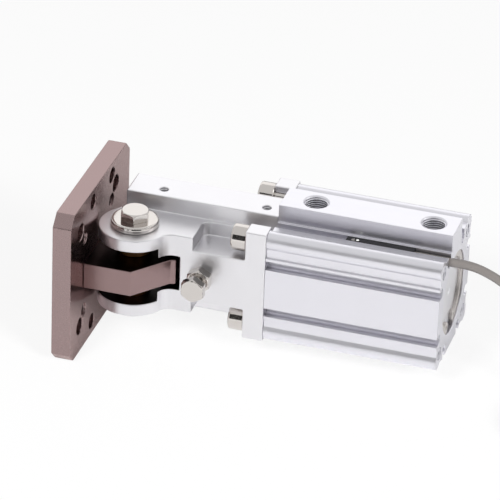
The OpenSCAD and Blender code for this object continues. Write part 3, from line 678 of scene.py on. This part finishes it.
# Each dark card's middle, and from there to its side and to its upper edge
FLAGS = (("high_flag", (-0.335, -1.248, 0.493), (0.1, 0, 0), (0, 0.18, 0.471)),
         ("low_flag", (0.228, -0.526, 0.245), (0.213, 0.086, 0), (0, 0.08, 0.21)))
CARD_COLOUR, CARD_ROUGHNESS = "#141414", 0.9


class SWINGPLATE_OT_stage(bpy.types.Operator):
    """Set the camera, the soft light and the pale floor"""
    bl_idname = "swingplate.stage"
    bl_label = "Studio"

    def execute(self, context):
        scene = context.scene
        scene.view_settings.view_transform = "Standard"
        data = bpy.data.cameras.new("studio_camera")
        data.lens = LENS
        data.sensor_width = SENSOR
        data.clip_end = SIGHT_END
        camera = bpy.data.objects.new("studio_camera", data)
        scene.collection.objects.link(camera)
        pose = Matrix((CAMERA_RIGHT, -CAMERA_DOWN, -CAMERA_AHEAD)).transposed().to_4x4()
        pose.translation = CAMERA_AT
        camera.matrix_world = pose
        scene.camera = camera
        self.floor()
        self.light()
        return {"FINISHED"}

    def floor(self):
        """A pale floor that shows white to the camera and keeps the part's shadow."""
        mesh = bpy.data.meshes.new("studio_floor")
        span, low = FLOOR_HALF, CAD_BOX[0][2]
        mesh.from_pydata([(-span, -span, low), (span, -span, low), (span, span, low), (-span, span, low)], [],
                         [(0, 1, 2, 3)])
        floor = linked("studio_floor", mesh)
        material = bpy.data.materials.new("pale_studio_floor")
        material.use_nodes = True
        tree = material.node_tree
        tree.nodes.clear()
        rays = nd(tree, "ShaderNodeLightPath").outputs
        seen = nd(tree, "ShaderNodeMath", {0: rays["Is Camera Ray"], 1: rays["Is Glossy Ray"]},
                  operation="MAXIMUM")
        seen = nd(tree, "ShaderNodeMath", {0: seen.outputs[0], 1: rays["Is Transmission Ray"]},
                  operation="MAXIMUM")
        share = nd(tree, "ShaderNodeMapRange",
                   {"Value": rays["Is Camera Ray"], "To Min": FLOOR_MIRRORED, "To Max": FLOOR_SEEN})
        share = nd(tree, "ShaderNodeMath", {0: seen.outputs[0], 1: share.outputs[0]}, operation="MULTIPLY")
        matt = nd(tree, "ShaderNodeBsdfDiffuse", {"Color": finishes().backdrop})
        white = nd(tree, "ShaderNodeEmission", {"Color": finishes().backdrop, "Strength": 1.0})
        both = nd(tree, "ShaderNodeMixShader", {0: share.outputs[0], 1: matt.outputs[0], 2: white.outputs[0]})
        nd(tree, "ShaderNodeOutputMaterial", {"Surface": both.outputs[0]})
        mesh.materials.append(material)

    def light(self):
        """A bright even room, softboxes for the metal's reflections and lamps for the floor."""
        world = bpy.data.worlds.new("studio_world")
        bpy.context.scene.world = world
        world.use_nodes = True
        tree = world.node_tree
        tree.nodes.clear()
        rays = nd(tree, "ShaderNodeLightPath").outputs
        seen = nd(tree, "ShaderNodeMath", {0: rays["Is Camera Ray"], 1: rays["Is Transmission Ray"]},
                  operation="MAXIMUM")
        room = nd(tree, "ShaderNodeMapRange",
                  {"Value": rays["Is Glossy Ray"], "To Min": ROOM_MATT, "To Max": ROOM_MIRRORED})
        level = nd(tree, "ShaderNodeMapRange",
                   {"Value": seen.outputs[0], "To Min": room.outputs[0], "To Max": ROOM_SEEN})
        sky = nd(tree, "ShaderNodeBackground", {"Color": (1, 1, 1, 1), "Strength": level.outputs[0]})
        nd(tree, "ShaderNodeOutputWorld", {"Surface": sky.outputs[0]})
        for name, place, size, power, matt in LAMPS:
            lamp = bpy.data.lights.new(name, "AREA")
            lamp.shape = "RECTANGLE"
            lamp.size, lamp.size_y = size
            lamp.energy = power
            box = bpy.data.objects.new(name, lamp)
            bpy.context.scene.collection.objects.link(box)
            box.location = place
            box.rotation_euler = (LAMP_AIM - Vector(place)).to_track_quat("-Z", "Y").to_euler()
            box.visible_camera = False
            box.visible_glossy = not matt
            box.visible_diffuse = matt
        for flag in FLAGS:
            self.flag(*flag)

    def flag(self, name, place, across, up):
        """A dark card, out of the camera's sight, that gives bright metal its dark lines."""
        mesh = bpy.data.meshes.new(name)
        place, across, up = Vector(place), Vector(across), Vector(up)
        low, high = place - up, place + up
        mesh.from_pydata([low - across, low + across, high + across, high - across], [], [(0, 1, 2, 3)])
        material = bpy.data.materials.get("dark_card") or bpy.data.materials.new("dark_card")
        material.use_nodes = True
        shader = material.node_tree.nodes["Principled BSDF"]
        shader.inputs["Base Color"].default_value = linear(CARD_COLOUR)
        shader.inputs["Roughness"].default_value = CARD_ROUGHNESS
        mesh.materials.append(material)
        card = linked(name, mesh)
        card.visible_camera = False
        card.visible_diffuse = False
        card.visible_shadow = False


class SWINGPLATE_OT_lead(bpy.types.Operator):
    """Lay the sensor's lead, its coil, tie and stripped cores"""
    bl_idname = "swingplate.lead"
    bl_label = "Sensor lead"

    def execute(self, context):
        turns, end, ahead = coil_points()
        points = [Vector(p) * MM for p in LEAD_ROUTE + turns]
        curve = bpy.data.curves.new("sensor_lead", "CURVE")
        curve.dimensions = "3D"
        curve.bevel_depth = sizes().lead_width / 2
        curve.bevel_resolution = 4
        curve.resolution_u = 6
        curve.use_fill_caps = True
        spline = curve.splines.new("BEZIER")
        spline.bezier_points.add(len(points) - 1)
        for knot, p in zip(spline.bezier_points, points):
            knot.co = p
            knot.handle_left_type = knot.handle_right_type = "AUTO"
        lead = linked("sensor_lead", curve)
        settle(lead, "frame", lead_sheath(), "lead_sheath", "lead_tube", "lead_coil")
        cores = self.cores(end, ahead)
        tie = dress("lead_tie", "frame", black_acetal(), "black_plastic")
        return {"FINISHED"}

    def cores(self, end, ahead):
        """Two stripped cores, splayed a little, with bright strands at their tips."""
        side = Vector((-ahead.y, ahead.x, 0))

        def core_point(s, t):
            spread = CORE_HALF + SPLAY * max(0.0, (t - SPLAY_FROM) / SPLAY_RUN) ** 2
            drop = DROP * min(1.0, t / DROP_RUN)
            return (end + ahead * (t - CORE_IN) + side * s * spread - Vector((0, 0, drop))) * MM

        meshes = []
        for s, finish in ((-1, brown_core()), (1, blue_core())):
            path = [core_point(s, t) for t in CORE_STEPS]
            onward = (path[-1] - path[-2]).normalized()
            tip = [path[-1] + onward * t * MM for t in STRAND_STEPS]
            meshes += [(tube_mesh("core", path, CORE_R * MM), finish),
                       (tube_mesh("strand", tip, STRAND_R * MM), bare_copper())]
        joined = bmesh.new()
        slots = []
        for mesh, finish in meshes:
            first = len(joined.faces)
            joined.from_mesh(mesh)
            joined.faces.ensure_lookup_table()
            if finish not in slots:
                slots.append(finish)
            for face in joined.faces[first:]:
                face.material_index = slots.index(finish)
            bpy.data.meshes.remove(mesh)
        mesh = bpy.data.meshes.new("stripped_cores")
        joined.to_mesh(mesh)
        joined.free()
        for finish in slots:
            mesh.materials.append(finish)
        return settle(linked("stripped_cores", mesh), "frame", slots[0], "core_sheath", "lead_cores")


class SWINGPLATE_OT_bracket(bpy.types.Operator):
    """Dress the hinge bracket and cut its tapped holes' threads"""
    bl_idname = "swingplate.bracket"
    bl_label = "Hinge bracket"

    def execute(self, context):
        dress("hinge_bracket", "frame", blasted_anodised(), "anodised_aluminium", sizes().bracket_edge)
        seats = [(x * MM, y * MM, z * MM) for x in TAP_X for y, z in TAP_PLACES]
        tapped = threads("bracket_tapped_threads", seats, TAP_THREAD, sizes().tap_pitch, blasted_anodised())
        settle(tapped, "frame", blasted_anodised(), "anodised_aluminium")
        return {"FINISHED"}


class SWINGPLATE_OT_barrel(bpy.types.Operator):
    """Dress the barrel, its ports, its tapped corners and its closed end"""
    bl_idname = "swingplate.barrel"
    bl_label = "Barrel"

    def execute(self, context):
        dress("barrel", "frame", drawn_anodised(), "extruded_aluminium", sizes().barrel_edge)
        ports = threads("port_threads", [(x * MM, 0, PORT_FOOT * MM) for x in PORT_X], PORT_THREAD,
                        sizes().port_pitch, drawn_anodised())
        settle(ports, "frame", drawn_anodised(), "extruded_aluminium")
        seats = [((AXIS_Z + z) * -MM, y * MM, CORNER_FOOT * MM) for y, z in corners(SCREW_HALF)]
        tapped = threads("rear_corner_threads", seats, CORNER_THREAD, sizes().screw_pitch, drawn_anodised(),
                         TURN_TO_PLUS_X)
        settle(tapped, "frame", drawn_anodised(), "extruded_aluminium")
        dress("rear_cap", "frame", blasted_anodised(), "anodised_aluminium")
        dress("rear_ring", "frame", dull_nickel(), "spring_steel")
        keep("cover_ring", phosphated_steel())
        keep("rod_cover", blasted_anodised())
        keep("rod_bush", sintered_bronze())
        for node in ("cover_seal", "rod_seal", "front_bumper", "rear_cap_seal", "rear_bumper", "piston_seal",
                     "magnet_ring"):
            keep(node, nitrile_rubber())
        return {"FINISHED"}


class SWINGPLATE_OT_rod(bpy.types.Operator):
    """Dress the piston, its rod and the yoke in the web's slot"""
    bl_idname = "swingplate.rod"
    bl_label = "Piston and rod"

    def execute(self, context):
        keep("piston", blasted_anodised())
        dress("piston_rod", "rod", hard_chrome(), "chrome_rod")
        dress("rod_yoke", "rod", ground_steel(), "ground_steel")
        return {"FINISHED"}


class SWINGPLATE_OT_plate(bpy.types.Operator):
    """Dress the swing plate and its arm"""
    bl_idname = "swingplate.plate"
    bl_label = "Swing plate"

    def execute(self, context):
        dress("swing_plate", "swing", brown_anodised(), "bronzed_aluminium", sizes().plate_edge)
        dress("swing_arm", "swing", arm_anodised(), "bronzed_aluminium", sizes().plate_edge)
        seats = [((AXIS_Z + z) * -MM, (HINGE_Y + y) * MM, PLATE_FOOT * MM)
                 for y, z in corners(INNER_HALF)]
        tapped = threads("plate_tapped_threads", seats, PLATE_THREAD, sizes().screw_pitch, brown_anodised(),
                         TURN_TO_PLUS_X)
        settle(tapped, "swing", brown_anodised(), "bronzed_aluminium")
        return {"FINISHED"}


class SWINGPLATE_OT_hinge(bpy.types.Operator):
    """Dress the hinge pin, its washer and bolt, and the ears' bushes"""
    bl_idname = "swingplate.hinge"
    bl_label = "Hinge"

    def execute(self, context):
        edge = sizes().fitting_edge
        dress("hinge_pin", "swing", ground_steel(), "ground_steel")
        dress("hinge_washer", "swing", bright_nickel(), "nickel_plate", segments=3)
        dress("hinge_bolt", "swing", bright_nickel(), "nickel_plate", edge)
        dress("drive_pin", "swing", ground_steel(), "ground_steel")
        dress("upper_bush", "frame", sintered_bronze(), "bronze")
        dress("lower_bush", "frame", sintered_bronze(), "bronze")
        return {"FINISHED"}


class SWINGPLATE_OT_screws(bpy.types.Operator):
    """Set the cap screws of the flange and of the arm"""
    bl_idname = "swingplate.screws"
    bl_label = "Cap screws"

    def execute(self, context):
        seats = [(FLANGE_FRONT_X * MM, y * MM, (AXIS_Z + z) * MM) for y, z in corners(SCREW_HALF)]
        mesh = cap_screw_mesh("flange_screw", shank=6 * MM, head=10 * MM, high=6 * MM, socket=5 * MM,
                              reach=19 * MM)
        cap_screws("flange_cap_screws", seats, TURN_TO_MINUS_X, "frame", mesh, "flange_screws")
        seats = [(ARM_SCREW_SEAT_X * MM, (HINGE_Y + y) * MM, AXIS_Z * MM)
                 for y in (-ARM_SCREW_Y, ARM_SCREW_Y)]
        mesh = cap_screw_mesh("arm_screw", shank=5 * MM, head=8.5 * MM, high=5 * MM, socket=4 * MM,
                              reach=13 * MM)
        cap_screws("arm_cap_screws", seats, TURN_TO_MINUS_X, "swing", mesh, "arm_screws")
        return {"FINISHED"}


class SWINGPLATE_OT_stop(bpy.types.Operator):
    """Dress the stop bolt and its lock nut, and cut the bolt's thread"""
    bl_idname = "swingplate.stop"
    bl_label = "Stop bolt"

    def execute(self, context):
        edge = sizes().fitting_edge
        dress("stop_bolt", "frame", bright_nickel(), "nickel_plate", edge)
        dress("stop_nut", "frame", bright_nickel(), "nickel_plate", edge)
        thread = threads("stop_bolt_thread", [(STOP_X * MM, AXIS_Z * MM, STOP_FOOT * MM)], STOP_THREAD,
                         STOP_PITCH * MM, bright_nickel(), TURN_TO_MINUS_Y)
        settle(thread, "frame", bright_nickel(), "nickel_plate")
        return {"FINISHED"}


class SWINGPLATE_OT_sensor(bpy.types.Operator):
    """Dress the position sensor with its screw and lamp"""
    bl_idname = "swingplate.sensor"
    bl_label = "Position sensor"

    def execute(self, context):
        dress("sensor_body", "frame", black_acetal(), "black_plastic")
        dress("sensor_screw", "frame", bright_nickel(), "nickel_plate")
        dress("sensor_led", "frame", clear_lens(), "clear_plastic", segments=3)
        return {"FINISHED"}


OPERATORS = (SWINGPLATE_OT_stage, SWINGPLATE_OT_lead, SWINGPLATE_OT_bracket, SWINGPLATE_OT_barrel,
             SWINGPLATE_OT_rod, SWINGPLATE_OT_plate, SWINGPLATE_OT_hinge, SWINGPLATE_OT_screws,
             SWINGPLATE_OT_stop, SWINGPLATE_OT_sensor)


class SWINGPLATE_PT_panel(bpy.types.Panel):
    """Lists the steps that dress the part"""
    bl_idname = "SWINGPLATE_PT_panel"
    bl_label = "Swing-plate cylinder"
    bl_space_type = "VIEW_3D"
    bl_region_type = "UI"
    bl_category = "Swing plate"

    def draw(self, context):
        for operator in OPERATORS:
            self.layout.operator(operator.bl_idname)
        for group in (context.scene.swing_sizes, context.scene.swing_finishes):
            for name in group.__annotations__:
                self.layout.prop(group, name)


CLASSES = (SwingSizes, SwingFinishes) + OPERATORS + (SWINGPLATE_PT_panel,)


def register():
    for one in CLASSES:
        bpy.utils.register_class(one)
    bpy.types.Scene.swing_sizes = PointerProperty(type=SwingSizes)
    bpy.types.Scene.swing_finishes = PointerProperty(type=SwingFinishes)


def unregister():
    del bpy.types.Scene.swing_finishes
    del bpy.types.Scene.swing_sizes
    for one in reversed(CLASSES):
        bpy.utils.unregister_class(one)


def main():
    register()
    for operator in OPERATORS:
        group, step = operator.bl_idname.split(".")
        getattr(getattr(bpy.ops, group), step)()


if __name__ == "__main__":
    main()
